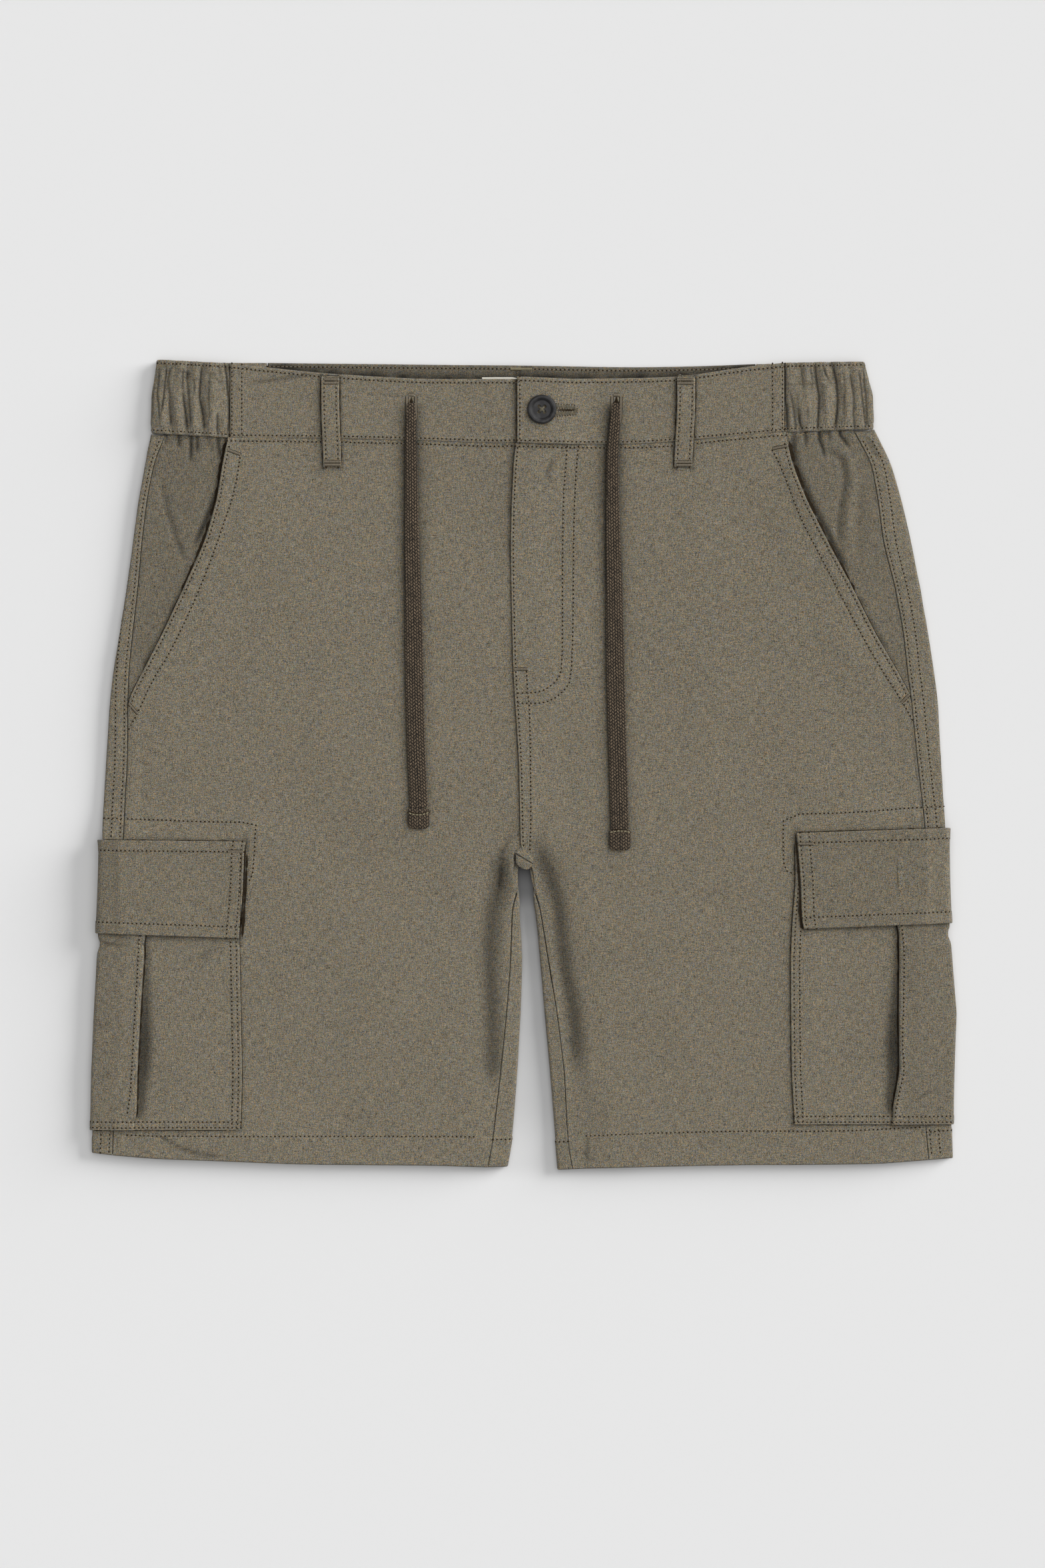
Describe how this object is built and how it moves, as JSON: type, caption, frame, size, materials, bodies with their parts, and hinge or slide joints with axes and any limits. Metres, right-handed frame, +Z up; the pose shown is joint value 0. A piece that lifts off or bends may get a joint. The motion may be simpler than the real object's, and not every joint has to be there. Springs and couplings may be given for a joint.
{
  "type": "cargo shorts",
  "caption": "Men's cargo shorts in slubby linen and cotton cloth, laid flat on their back, with an elasticated waistband, flat drawcords, slant pockets and pleated, flapped cargo pockets.",
  "frame": {"origin": "on the surface that the shorts lie on, under the middle of their bounding box", "axes": "+Z up from the surface, out of the front of the shorts; +Y towards the waist; +X across, towards the right as the front is seen with the waist at the top"},
  "size_m": [0.5246, 0.4908, 0.0121],
  "materials": {
    "linen": "matte slubby plain weave, taupe-olive",
    "braid": "matte herringbone braid, dark olive-brown",
    "button": "satin charcoal resin",
    "label": "matte white woven tape"
  },
  "bodies": {
    "root": {"front_left": "linen", "front_right": "linen", "back_left": "linen", "back_right": "linen", "hip_facing_left": "linen", "hip_facing_right": "linen", "waistband_front_left": "linen", "waistband_front_right": "linen", "waistband_back": "linen", "waistband_elastic_left": "linen", "waistband_elastic_right": "linen", "belt_loop_left": "linen", "belt_loop_right": "linen", "belt_loop_back": "linen", "cargo_pocket_left": "linen", "cargo_pocket_right": "linen", "cargo_flap_left": "linen", "cargo_flap_right": "linen", "button": "button", "label": "label", "drawcord_left": "braid", "drawcord_right": "braid", "drawcord_tip_left": "braid", "drawcord_tip_right": "braid"}
  },
  "joints": []
}
